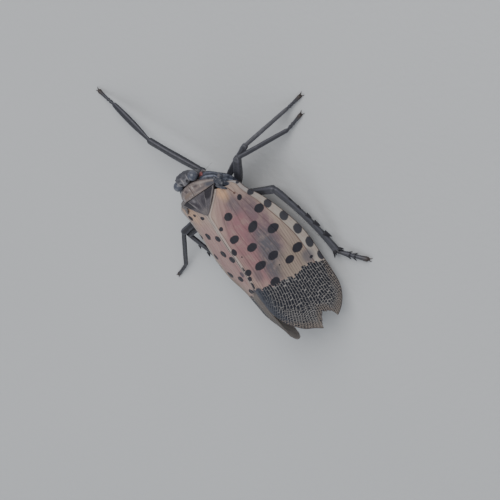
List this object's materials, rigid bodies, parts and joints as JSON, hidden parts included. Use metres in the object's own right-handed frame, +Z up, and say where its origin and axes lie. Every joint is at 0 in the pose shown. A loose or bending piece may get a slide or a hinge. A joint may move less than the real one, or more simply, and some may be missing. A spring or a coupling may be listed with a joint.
{
  "type": "spotted lanternfly",
  "caption": "Life-size spotted lanternfly standing with spotted wings folded like a roof over its back, legs spread, as a still display model.",
  "frame": {"origin": "on the floor under the middle of the standing insect's box: the six feet rest on z = 0", "axes": "+Z up, the insect faces -Y, its right side is towards -X and its wing tips point to +Y"},
  "size_m": [0.0312, 0.0384, 0.0079],
  "materials": {
    "dark_chitin": "near-black with a faint blue sheen",
    "grey_head": "dark grey-brown, powdery",
    "grey_collar": "grey-tan, powdery",
    "slate_shield": "slate grey with darker sides",
    "eye_black": "polished near-black",
    "feeler_orange": "orange-red bulb with a dark bristle",
    "forewing_tan": "tan to pink-grey with black spots and a black-dashed end",
    "hindwing_red": "scarlet with a dark end",
    "abdomen_yellow": "ochre yellow with dark bands"
  },
  "bodies": {
    "root": {"head": "grey_head", "rostrum": "dark_chitin", "pronotum": "grey_collar", "scutellum": "slate_shield", "thorax": "dark_chitin", "abdomen": "abdomen_yellow", "eye_right": "eye_black", "antenna_right": "feeler_orange", "tegula_right": "dark_chitin", "forewing_right": "forewing_tan", "hindwing_right": "hindwing_red", "eye_left": "eye_black", "antenna_left": "feeler_orange", "tegula_left": "dark_chitin", "forewing_left": "forewing_tan", "hindwing_left": "hindwing_red", "foreleg_left_coxa": "dark_chitin", "foreleg_left_femur": "dark_chitin", "foreleg_left_tibia": "dark_chitin", "foreleg_left_tarsus": "dark_chitin", "foreleg_right_coxa": "dark_chitin", "foreleg_right_femur": "dark_chitin", "foreleg_right_tibia": "dark_chitin", "foreleg_right_tarsus": "dark_chitin", "midleg_left_coxa": "dark_chitin", "midleg_left_femur": "dark_chitin", "midleg_left_tibia": "dark_chitin", "midleg_left_tarsus": "dark_chitin", "midleg_right_coxa": "dark_chitin", "midleg_right_femur": "dark_chitin", "midleg_right_tibia": "dark_chitin", "midleg_right_tarsus": "dark_chitin", "hindleg_left_coxa": "dark_chitin", "hindleg_left_femur": "dark_chitin", "hindleg_left_tibia": "dark_chitin", "hindleg_left_tarsus": "dark_chitin", "hindleg_right_coxa": "dark_chitin", "hindleg_right_femur": "dark_chitin", "hindleg_right_tibia": "dark_chitin", "hindleg_right_tarsus": "dark_chitin"}
  },
  "joints": []
}
